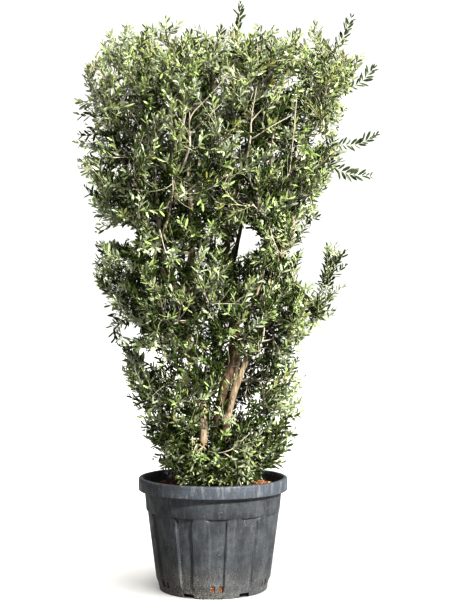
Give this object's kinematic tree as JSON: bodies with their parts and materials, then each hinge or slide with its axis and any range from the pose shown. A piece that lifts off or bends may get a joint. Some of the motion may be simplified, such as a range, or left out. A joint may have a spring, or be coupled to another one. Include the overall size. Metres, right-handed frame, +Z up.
{
  "type": "potted olive tree",
  "caption": "Bushy multi-stemmed olive with a vase-shaped, flat-topped crown that is leafy down to the rim of its ribbed dark grey nursery pot.",
  "frame": {"origin": "centre of the pot's flat underside, on the surface that it stands on", "axes": "+Z up along the pot's axis; -Y towards the viewer of the picture; +X to the viewer's right"},
  "size_m": [1.1907, 0.8801, 2.3365],
  "materials": {
    "pot": "matt, weathered dark grey moulded plastic with dust and dried soil",
    "soil": "loose coir and bark potting mix, dry on top",
    "bark": "matt grey-brown bark, reddish brown low down",
    "foliage": "grey-green leathery leaves with paler undersides"
  },
  "bodies": {
    "root": {"pot": "pot", "soil": "soil", "root_crown": "bark", "left_stem": "bark", "right_stem": "bark", "middle_stem": "bark", "back_stem": "bark", "left_bough": "bark", "far_left_bough": "bark", "front_left_bough": "bark", "front_right_bough": "bark", "low_right_bough": "bark", "back_left_bough": "bark", "foliage_skirt_left": "foliage", "foliage_skirt_right": "foliage", "foliage_skirt_front": "foliage", "foliage_skirt_back": "foliage", "foliage_lower_left": "foliage", "foliage_lower_right": "foliage", "foliage_lower_front": "foliage", "foliage_lower_back": "foliage", "foliage_mid_left": "foliage", "foliage_mid_front_left": "foliage", "foliage_mid_centre": "foliage", "foliage_mid_right": "foliage", "foliage_low_right": "foliage", "foliage_mid_back": "foliage", "foliage_mid_back_left": "foliage", "foliage_upper_left": "foliage", "foliage_upper_front_left": "foliage", "foliage_upper_front": "foliage", "foliage_upper_centre": "foliage", "foliage_upper_front_right": "foliage", "foliage_upper_right": "foliage", "foliage_upper_back_right": "foliage", "foliage_upper_back_left": "foliage", "foliage_top_far_left": "foliage", "foliage_top_front_left": "foliage", "foliage_top_centre_left": "foliage", "foliage_top_centre_right": "foliage", "foliage_top_front_right": "foliage", "foliage_top_right": "foliage", "foliage_top_back_right": "foliage", "foliage_top_back_left": "foliage"}
  },
  "joints": []
}
